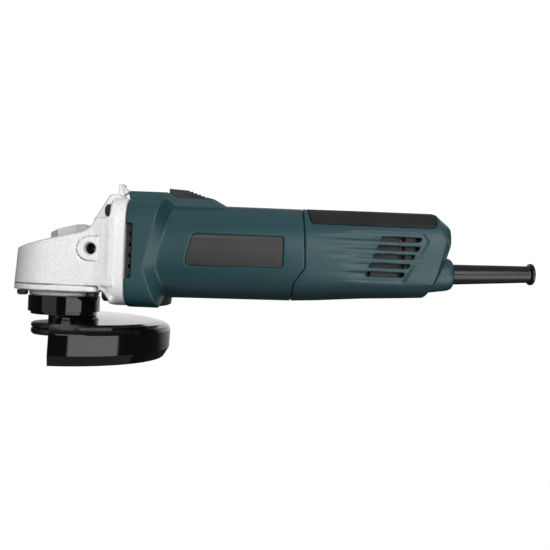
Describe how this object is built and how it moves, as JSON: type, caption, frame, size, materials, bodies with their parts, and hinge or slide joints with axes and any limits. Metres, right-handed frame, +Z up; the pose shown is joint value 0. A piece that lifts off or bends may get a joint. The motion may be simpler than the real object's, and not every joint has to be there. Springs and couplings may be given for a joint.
{
  "type": "angle grinder",
  "caption": "Small corded angle grinder with a cast gear head, swivelling wheel guard, slide switch and spindle lock, shown without a disc.",
  "frame": {"origin": "centre of the spindle's lower end face", "axes": "+X along the motor axis from the gear head to the cable end, +Z up along the spindle axis, away from the disc"},
  "size_m": [0.3258, 0.1322, 0.1078],
  "materials": {
    "cast_aluminium": "matt sprayed silver on a fine-grained die casting",
    "green_plastic": "fine spark-eroded texture, satin",
    "soft_grip": "fine matt grain",
    "dark_label": "fine grained matt field, blank",
    "black_plastic": "satin",
    "gloss_black": "gloss black powder coat",
    "black_steel": "blackened steel",
    "steel": "ground steel",
    "lamination": "stacked laminations",
    "copper": "enamelled copper",
    "brass": "plain brass",
    "carbon": "pressed carbon",
    "label_blue": "lacquered can",
    "rubber": "satin rubber"
  },
  "bodies": {
    "housing": {"badge_left": "dark_label", "badge_right": "dark_label", "bearing_bracket": "black_plastic", "bearing_retainer": "cast_aluminium", "brush_holder_left": "brass", "brush_holder_right": "brass", "cable_boot": "rubber", "carbon_brush_left": "carbon", "carbon_brush_right": "carbon", "cord_clamp": "black_plastic", "fan_baffle": "black_plastic", "field_coil_lower": "copper", "field_coil_upper": "copper", "flange_screw_1": "black_steel", "flange_screw_2": "black_steel", "flange_screw_3": "black_steel", "flange_screw_4": "black_steel", "front_bearing": "steel", "gear_case": "cast_aluminium", "grip_pad_left": "soft_grip", "grip_pad_right": "soft_grip", "motor_housing": "green_plastic", "rear_bearing": "steel", "rear_shell_left": "green_plastic", "rear_shell_right": "green_plastic", "retainer_screw_1": "black_steel", "retainer_screw_2": "black_steel", "retainer_screw_3": "black_steel", "retainer_screw_4": "black_steel", "shell_screw_1": "black_steel", "shell_screw_2": "black_steel", "shell_screw_3": "black_steel", "spindle_bearing": "steel", "spindle_bush": "brass", "stator_core": "lamination", "suppressor_capacitor": "label_blue", "switch_module": "black_plastic"},
    "spindle": {"spindle": "steel", "spindle_gear": "steel", "gear_spacer": "steel", "inner_flange": "black_steel", "clamp_nut": "black_steel"},
    "armature": {"armature_shaft": "lamination", "pinion": "steel", "armature_core": "lamination", "winding_front": "copper", "winding_rear": "copper", "commutator": "copper", "cooling_fan": "black_plastic"},
    "guard": {"wheel_guard": "gloss_black", "guard_clamp_band": "gloss_black", "guard_clamp_screw": "black_steel", "guard_clamp_nut": "black_steel"},
    "switch": {"switch_slider": "soft_grip", "slide_link": "black_plastic"},
    "lock": {"lock_button": "cast_aluminium", "lock_pin": "steel", "lock_spring": "steel"}
  },
  "joints": [
    {"name": "armature_spin", "type": "hinge", "parent": "housing", "child": "armature", "pos_m": [0.1, 0, 0.062], "axis": [1, 0, 0], "continuous": true},
    {"name": "spindle_spin", "type": "hinge", "parent": "housing", "child": "spindle", "pos_m": [0, 0, 0.032], "axis": [0, 0, 1], "continuous": true},
    {"name": "guard_swivel", "type": "hinge", "parent": "housing", "child": "guard", "pos_m": [0, 0, 0.026], "axis": [0, 0, 1], "range_deg": [-110, 110]},
    {"name": "switch_slide", "type": "slide", "parent": "housing", "child": "switch", "axis": [-1, 0, 0], "range_m": [0, 0.008]},
    {"name": "lock_press", "type": "slide", "parent": "housing", "child": "lock", "axis": [0, 0, -1], "range_m": [0, 0.0028], "stiffness_N_per_m": 1500, "springref_m": -0.002, "deforming": ["lock_spring"]}
  ],
  "couplings": [
    {"joint": "spindle_spin", "follows": "armature_spin", "ratio": 0.32258}
  ]
}
